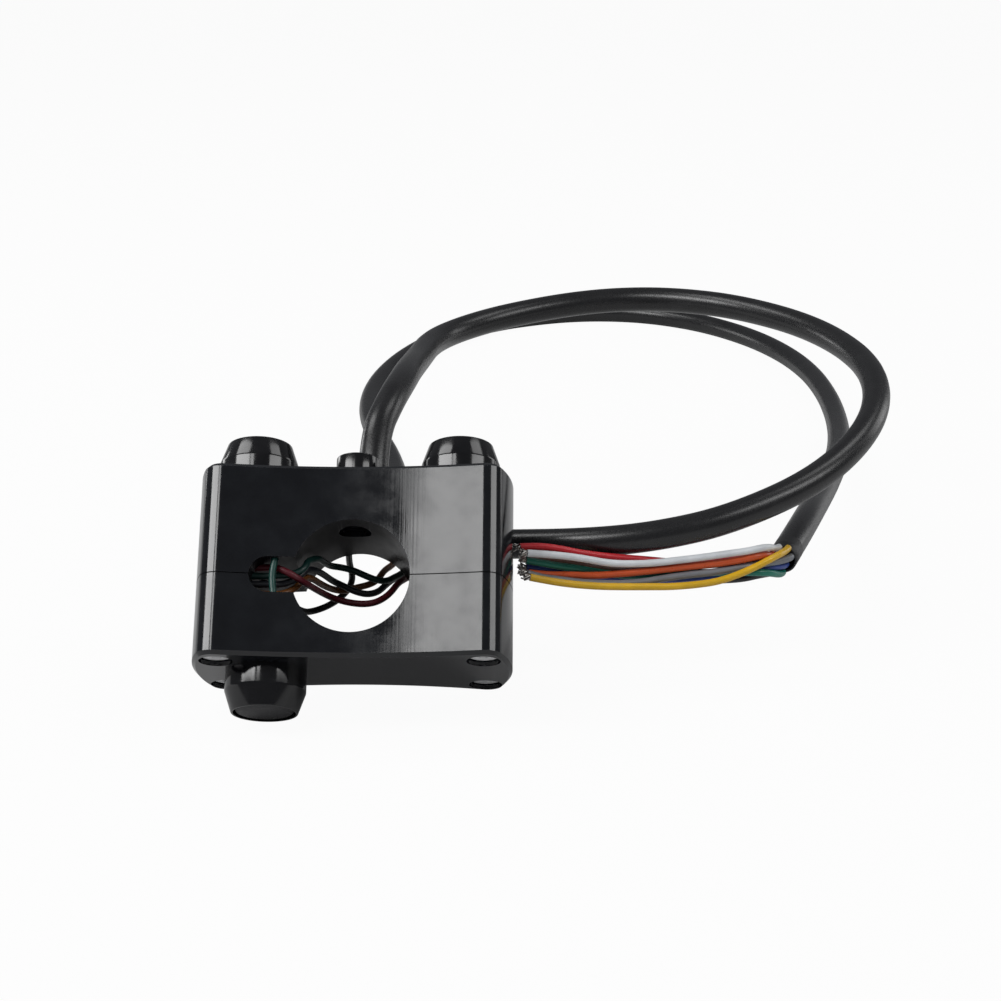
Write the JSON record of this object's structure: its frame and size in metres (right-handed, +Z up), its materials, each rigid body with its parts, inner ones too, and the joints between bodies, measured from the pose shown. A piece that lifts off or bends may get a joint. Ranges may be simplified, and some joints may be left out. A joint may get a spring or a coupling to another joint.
{
  "type": "handlebar switch cluster",
  "caption": "Split clamp block for a handlebar with push buttons on its top and bottom faces, wires across its bore and a long round cable with stripped wires at the end.",
  "frame": {"origin": "on the handlebar bore's axis, half way along the bore", "axes": "+X across the block towards the cable's loops, +Z up as the part lies on a table; the block leans back 51.4 degrees, so the bore's axis points forwards (-Y) and up"},
  "size_m": [0.1523, 0.3486, 0.0549],
  "materials": {
    "grommet_rubber": "satin black",
    "sheath_rubber": "satin black",
    "black_anodised_button": "gloss black, turned",
    "contact_brass": "plain brass",
    "spring_steel": "bright steel",
    "bright_steel_screw": "bright steel",
    "wire_black": "smooth insulation",
    "wire_blue": "smooth insulation",
    "wire_green": "smooth insulation",
    "wire_orange": "smooth insulation",
    "wire_red": "smooth insulation",
    "wire_brown": "smooth insulation",
    "wire_grey": "smooth insulation",
    "wire_white": "smooth insulation",
    "wire_yellow": "smooth insulation",
    "matte_plunger": "matte dark grey",
    "seal_rubber": "matte black",
    "switch_plastic": "matte black",
    "black_anodised_block": "gloss black, lightly brushed",
    "tinned_copper": "tinned"
  },
  "bodies": {
    "housing": {"cable_grommet": "grommet_rubber", "cable_sheath": "sheath_rubber", "centre_button_contact_plate": "contact_brass", "clamp_screw_back_left": "bright_steel_screw", "clamp_screw_back_right": "bright_steel_screw", "clamp_screw_front_left": "bright_steel_screw", "clamp_screw_front_right": "bright_steel_screw", "jumper_wire_black": "wire_black", "jumper_wire_blue": "wire_blue", "jumper_wire_green": "wire_green", "jumper_wire_orange": "wire_orange", "jumper_wire_red": "wire_red", "lead_black": "wire_black", "lead_blue": "wire_blue", "lead_brown": "wire_brown", "lead_green": "wire_green", "lead_grey": "wire_grey", "lead_orange": "wire_orange", "lead_red": "wire_red", "lead_white": "wire_white", "lead_yellow": "wire_yellow", "left_button_bezel": "black_anodised_button", "left_button_contact": "contact_brass", "left_button_seal": "seal_rubber", "left_button_switch": "switch_plastic", "left_button_terminals": "contact_brass", "lower_button_bezel": "black_anodised_button", "lower_button_contact": "contact_brass", "lower_button_seal": "seal_rubber", "lower_button_switch": "switch_plastic", "lower_button_terminals": "contact_brass", "lower_clamp_half": "black_anodised_block", "right_button_bezel": "black_anodised_button", "right_button_contact": "contact_brass", "right_button_seal": "seal_rubber", "right_button_switch": "switch_plastic", "right_button_terminals": "contact_brass", "slot_wire_green": "wire_green", "tinned_tips": "tinned_copper", "upper_clamp_half": "black_anodised_block"},
    "left_button": {"left_button_cap": "matte_plunger", "left_button_spring": "spring_steel"},
    "right_button": {"right_button_cap": "matte_plunger", "right_button_spring": "spring_steel"},
    "lower_button": {"lower_button_cap": "matte_plunger", "lower_button_spring": "spring_steel"},
    "centre_button": {"centre_button_cap": "black_anodised_button", "centre_button_spring": "spring_steel", "centre_button_star_washer": "spring_steel"}
  },
  "joints": [
    {"name": "left_button_press", "type": "slide", "parent": "housing", "child": "left_button", "axis": [0, -0.6239, -0.7815], "range_m": [0, 0.001], "stiffness_N_per_m": 400},
    {"name": "right_button_press", "type": "slide", "parent": "housing", "child": "right_button", "axis": [0, -0.6239, -0.7815], "range_m": [0, 0.001], "stiffness_N_per_m": 400},
    {"name": "lower_button_press", "type": "slide", "parent": "housing", "child": "lower_button", "axis": [0, 0.6239, 0.7815], "range_m": [0, 0.001], "stiffness_N_per_m": 400},
    {"name": "centre_button_press", "type": "slide", "parent": "housing", "child": "centre_button", "axis": [0, -0.6239, -0.7815], "range_m": [0, 0.001], "stiffness_N_per_m": 400}
  ]
}
